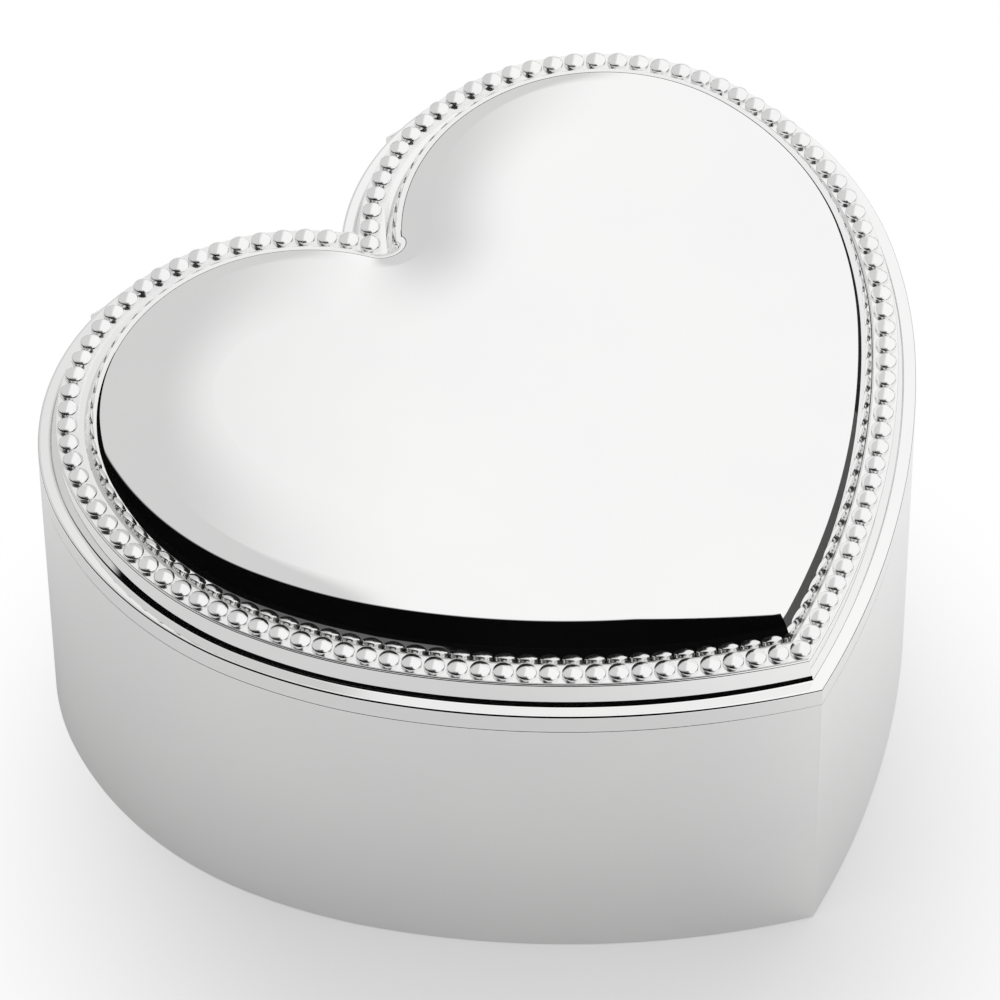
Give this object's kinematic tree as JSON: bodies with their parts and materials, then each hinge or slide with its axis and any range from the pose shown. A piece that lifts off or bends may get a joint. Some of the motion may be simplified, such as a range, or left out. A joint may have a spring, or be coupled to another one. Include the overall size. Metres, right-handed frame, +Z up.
{
  "type": "wind up music box",
  "caption": "Heart-shaped plated metal music box with a hinged beaded lid, a velvet-lined tray, and a key-wound pinned cylinder movement with comb, governor and lid stop.",
  "frame": {"origin": "centre of the footprint at the level of the surface the box stands on, hinge knuckles included", "axes": "+Z up, +X to the right seen from the tip, +Y from the tip of the heart to its cleft and hinges"},
  "size_m": [0.1022, 0.0964, 0.0493],
  "materials": {
    "plated_shell": "bright nickel plate on a pressed metal shell",
    "plated_beads": "bright nickel plate on a beaded strip",
    "base_sheet": "black lacquered sheet metal",
    "felt": "pressed felt",
    "velvet": "short pile velvet",
    "screw_steel": "turned steel",
    "cast_bed": "cast and lightly plated",
    "brass": "machined brass",
    "barrel_steel": "drawn and turned steel",
    "comb_steel": "hardened ground steel",
    "key_plate": "nickel plated",
    "fly_plastic": "moulded"
  },
  "bodies": {
    "case": {"body_shell": "plated_shell", "base_plate": "base_sheet", "base_felt": "felt", "base_screws": "screw_steel", "inner_tray": "base_sheet", "tray_lining": "velvet", "wall_lining": "velvet", "body_hinge_leaves": "plated_shell", "hinge_pins": "plated_shell", "movement_bedplate": "cast_bed", "movement_screws": "screw_steel", "left_bearing_post": "brass", "right_bearing_post": "brass", "tone_comb": "comb_steel", "comb_screws": "screw_steel", "governor_bracket": "barrel_steel", "plunger_bush": "brass", "stop_post": "brass", "stop_pin": "screw_steel"},
    "lid": {"lid_shell": "plated_shell", "lid_lining": "velvet", "bead_border": "plated_beads", "lid_hinge_leaves": "plated_shell"},
    "key": {"winding_key": "key_plate", "winding_arbor": "barrel_steel"},
    "barrel": {"spring_barrel": "barrel_steel", "crown_wheel": "brass", "mainspring": "comb_steel"},
    "cylinder": {"pinned_cylinder": "brass", "cylinder_arbor": "barrel_steel", "cylinder_pinion": "brass", "cylinder_wheel": "brass"},
    "governor": {"governor_arbor": "barrel_steel", "governor_pinion": "brass", "governor_wheel": "brass"},
    "fly": {"worm_shaft": "barrel_steel", "governor_fly": "fly_plastic"},
    "plunger": {"stop_plunger": "barrel_steel"},
    "lever": {"stop_lever": "barrel_steel"}
  },
  "joints": [
    {"name": "lid_hinge", "type": "hinge", "parent": "case", "child": "lid", "pos_m": [0, 0.04669, 0.0355], "axis": [-1, 0, 0], "range_deg": [0, 100]},
    {"name": "key_turn", "type": "hinge", "parent": "case", "child": "key", "pos_m": [-0.012, 0.004, 0.003], "axis": [0, 0, 1], "continuous": true},
    {"name": "fly_spin", "type": "hinge", "parent": "case", "child": "fly", "pos_m": [0.02661, 0.01664, 0.01789], "axis": [0, 0, 1], "continuous": true},
    {"name": "governor_spin", "type": "hinge", "parent": "case", "child": "governor", "pos_m": [0.02661, 0.01089, 0.01789], "axis": [1, 0, 0], "continuous": true},
    {"name": "cylinder_spin", "type": "hinge", "parent": "case", "child": "cylinder", "pos_m": [0.00271, 0.004, 0.0211], "axis": [1, 0, 0], "continuous": true},
    {"name": "barrel_spin", "type": "hinge", "parent": "case", "child": "barrel", "pos_m": [-0.012, 0.004, 0.018], "axis": [0, 0, 1], "continuous": true},
    {"name": "plunger_slide", "type": "slide", "parent": "case", "child": "plunger", "axis": [0, 0, 1], "range_m": [0, 0.0012]},
    {"name": "stop_lever_pivot", "type": "hinge", "parent": "case", "child": "lever", "pos_m": [0.03326, 0.01664, 0.0262], "axis": [0, -1, 0], "range_deg": [0, 11.5]}
  ],
  "couplings": [
    {"joint": "cylinder_spin", "follows": "barrel_spin", "ratio": 3.6},
    {"joint": "governor_spin", "follows": "barrel_spin", "ratio": -13.5},
    {"joint": "fly_spin", "follows": "barrel_spin", "ratio": 432},
    {"joint": "plunger_slide", "follows": "lid_hinge", "m_per_rad": 0.00068755},
    {"joint": "stop_lever_pivot", "follows": "lid_hinge", "ratio": 0.115}
  ]
}
